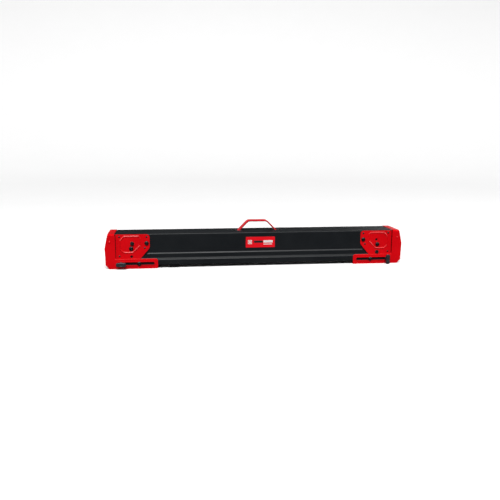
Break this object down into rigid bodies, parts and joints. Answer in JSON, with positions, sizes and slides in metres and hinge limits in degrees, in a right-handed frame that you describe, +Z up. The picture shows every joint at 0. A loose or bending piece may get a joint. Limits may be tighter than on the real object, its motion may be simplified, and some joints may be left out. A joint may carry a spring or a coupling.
{
  "type": "folding tool stand",
  "caption": "Carry beam with legs that fold into a channel, pull-out end brackets and a strap, used to stand a tile cutter on.",
  "frame": {"origin": "middle of the box's underside, on the plane that the end brackets rest on", "axes": "+X along the beam to the right-hand end, -Y the front with the label plate, +Z up to the carrying strap"},
  "size_m": [1.2, 0.1856, 0.179],
  "materials": {
    "red_coat": "satin red powder coat",
    "black_coat": "fine satin black powder coat",
    "leg_coat": "satin black tube enamel",
    "zinc": "zinc plated pressed steel",
    "bright_steel": "bright plated turned steel",
    "black_oxide": "black oxide screw",
    "knob_plastic": "moulded glass-filled nylon, fine texture",
    "boot_rubber": "moulded rubber",
    "strap_web": "rubber-backed woven strap",
    "label": null
  },
  "bodies": {
    "beam": {"beam_channel": "black_coat", "side_plate_front_left": "red_coat", "side_plate_front_right": "red_coat", "side_plate_back_left": "red_coat", "side_plate_back_right": "red_coat", "plate_rivets_front": "black_oxide", "plate_rivets_back": "black_oxide", "hub_carrier_left": "zinc", "hub_carrier_right": "zinc", "carrier_bolts": "black_oxide", "carrier_nuts": "zinc", "pivot_bolts": "black_oxide", "pivot_nuts": "zinc", "hinge_pins": "bright_steel", "guide_bolts": "black_oxide", "guide_nuts": "zinc", "clamp_studs": "bright_steel", "label_plate": "label", "handle_strap": "strap_web", "handle_end_plates": "black_oxide", "handle_screws": "black_oxide", "handle_nuts": "zinc", "strap_bezels": "knob_plastic", "stow_clips": "black_oxide", "stow_clip_rivets": "black_oxide"},
    "bracket_left": {"end_bracket_left": "red_coat", "end_cap_rivets_left": "red_coat"},
    "bracket_right": {"end_bracket_right": "red_coat", "end_cap_rivets_right": "red_coat"},
    "leg_front_left": {"leg_tube_front_left": "leg_coat", "leg_knuckle_front_left": "zinc", "foot_boot_front_left": "boot_rubber"},
    "button_front_left": {"snap_button_front_left": "bright_steel", "button_spring_front_left": "zinc"},
    "wing_knob_front_left": {"knob_front_left": "knob_plastic"},
    "leg_back_left": {"leg_tube_back_left": "leg_coat", "leg_knuckle_back_left": "zinc", "foot_boot_back_left": "boot_rubber"},
    "button_back_left": {"snap_button_back_left": "bright_steel", "button_spring_back_left": "zinc"},
    "wing_knob_back_left": {"knob_back_left": "knob_plastic"},
    "leg_front_right": {"leg_tube_front_right": "leg_coat", "leg_knuckle_front_right": "zinc", "foot_boot_front_right": "boot_rubber"},
    "button_front_right": {"snap_button_front_right": "bright_steel", "button_spring_front_right": "zinc"},
    "wing_knob_front_right": {"knob_front_right": "knob_plastic"},
    "leg_back_right": {"leg_tube_back_right": "leg_coat", "leg_knuckle_back_right": "zinc", "foot_boot_back_right": "boot_rubber"},
    "button_back_right": {"snap_button_back_right": "bright_steel", "button_spring_back_right": "zinc"},
    "wing_knob_back_right": {"knob_back_right": "knob_plastic"}
  },
  "joints": [
    {"name": "bracket_slide_left", "type": "slide", "parent": "beam", "child": "bracket_left", "axis": [-1, 0, 0], "range_m": [0, 0.05]},
    {"name": "bracket_slide_right", "type": "slide", "parent": "beam", "child": "bracket_right", "axis": [1, 0, 0], "range_m": [0, 0.05]},
    {"name": "leg_swing_front_left", "type": "hinge", "parent": "beam", "child": "leg_front_left", "pos_m": [-0.498, -0.028, 0.09], "axis": [0, 0.9703, -0.2419], "range_deg": [0, 101]},
    {"name": "button_press_front_left", "type": "slide", "parent": "leg_front_left", "child": "button_front_left", "axis": [0, -0.9703, 0.2419], "range_m": [-0.004, 0], "stiffness_N_per_m": 600, "springref_m": 0.002, "deforming": ["button_spring_front_left"]},
    {"name": "knob_turn_front_left", "type": "hinge", "parent": "beam", "child": "wing_knob_front_left", "pos_m": [-0.538, -0.0708, 0.0205], "axis": [0, -1, 0], "range_deg": [-180, 180]},
    {"name": "leg_swing_back_left", "type": "hinge", "parent": "beam", "child": "leg_back_left", "pos_m": [-0.498, 0.028, 0.09], "axis": [0, 0.9703, 0.2419], "range_deg": [0, 101]},
    {"name": "button_press_back_left", "type": "slide", "parent": "leg_back_left", "child": "button_back_left", "axis": [0, 0.9703, 0.2419], "range_m": [-0.004, 0], "stiffness_N_per_m": 600, "springref_m": 0.002, "deforming": ["button_spring_back_left"]},
    {"name": "knob_turn_back_left", "type": "hinge", "parent": "beam", "child": "wing_knob_back_left", "pos_m": [-0.538, 0.0708, 0.0205], "axis": [0, 1, 0], "range_deg": [-180, 180]},
    {"name": "leg_swing_front_right", "type": "hinge", "parent": "beam", "child": "leg_front_right", "pos_m": [0.498, -0.017, 0.0375], "axis": [0, -0.9703, 0.2419], "range_deg": [0, 101]},
    {"name": "button_press_front_right", "type": "slide", "parent": "leg_front_right", "child": "button_front_right", "axis": [0, -0.9703, 0.2419], "range_m": [-0.004, 0], "stiffness_N_per_m": 600, "springref_m": 0.002, "deforming": ["button_spring_front_right"]},
    {"name": "knob_turn_front_right", "type": "hinge", "parent": "beam", "child": "wing_knob_front_right", "pos_m": [0.538, -0.0708, 0.0205], "axis": [0, -1, 0], "range_deg": [-180, 180]},
    {"name": "leg_swing_back_right", "type": "hinge", "parent": "beam", "child": "leg_back_right", "pos_m": [0.498, 0.017, 0.0375], "axis": [0, -0.9703, -0.2419], "range_deg": [0, 101]},
    {"name": "button_press_back_right", "type": "slide", "parent": "leg_back_right", "child": "button_back_right", "axis": [0, 0.9703, 0.2419], "range_m": [-0.004, 0], "stiffness_N_per_m": 600, "springref_m": 0.002, "deforming": ["button_spring_back_right"]},
    {"name": "knob_turn_back_right", "type": "hinge", "parent": "beam", "child": "wing_knob_back_right", "pos_m": [0.538, 0.0708, 0.0205], "axis": [0, 1, 0], "range_deg": [-180, 180]}
  ]
}
